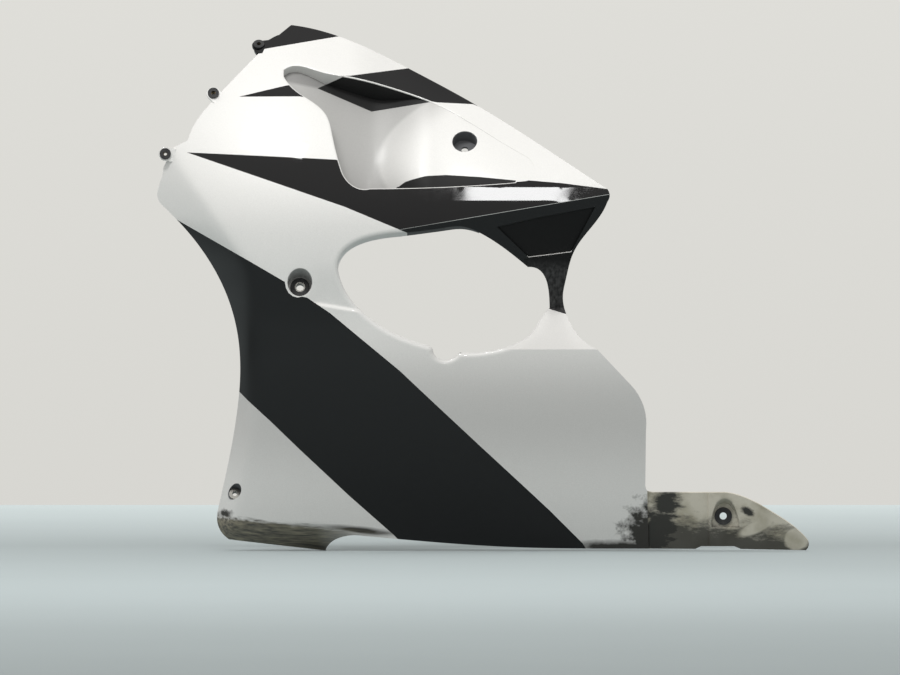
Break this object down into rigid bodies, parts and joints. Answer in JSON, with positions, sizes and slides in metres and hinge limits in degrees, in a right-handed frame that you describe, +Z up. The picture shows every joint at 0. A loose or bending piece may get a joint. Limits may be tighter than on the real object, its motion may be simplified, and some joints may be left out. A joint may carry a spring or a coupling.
{
  "type": "motorcycle side cover",
  "caption": "Painted side fairing panel of a motorcycle: a curved moulded shell with a vent opening, an air scoop, recessed bolt bosses, a slim tail and rubber well nuts in its front lugs.",
  "frame": {"origin": "centre of the mouth of the main boss's collar", "axes": "+X rearwards along the panel, +Y inboard towards the motorcycle, +Z up, with the panel leaning as it stands on its lower edge"},
  "size_m": [0.8175, 0.1428, 0.661],
  "materials": {
    "painted_abs": "silver metallic paint with gloss black stripes under clear coat",
    "black_rubber": "matt",
    "brass": "machined",
    "zinc_steel": "zinc plated"
  },
  "bodies": {
    "root": {"side_cover_shell": "painted_abs", "well_nut_rubbers": "black_rubber", "well_nut_inserts": "brass", "main_boss_grommet": "black_rubber", "main_boss_collar": "zinc_steel", "lower_boss_collar": "zinc_steel", "rear_boss_grommet": "black_rubber"}
  },
  "joints": []
}
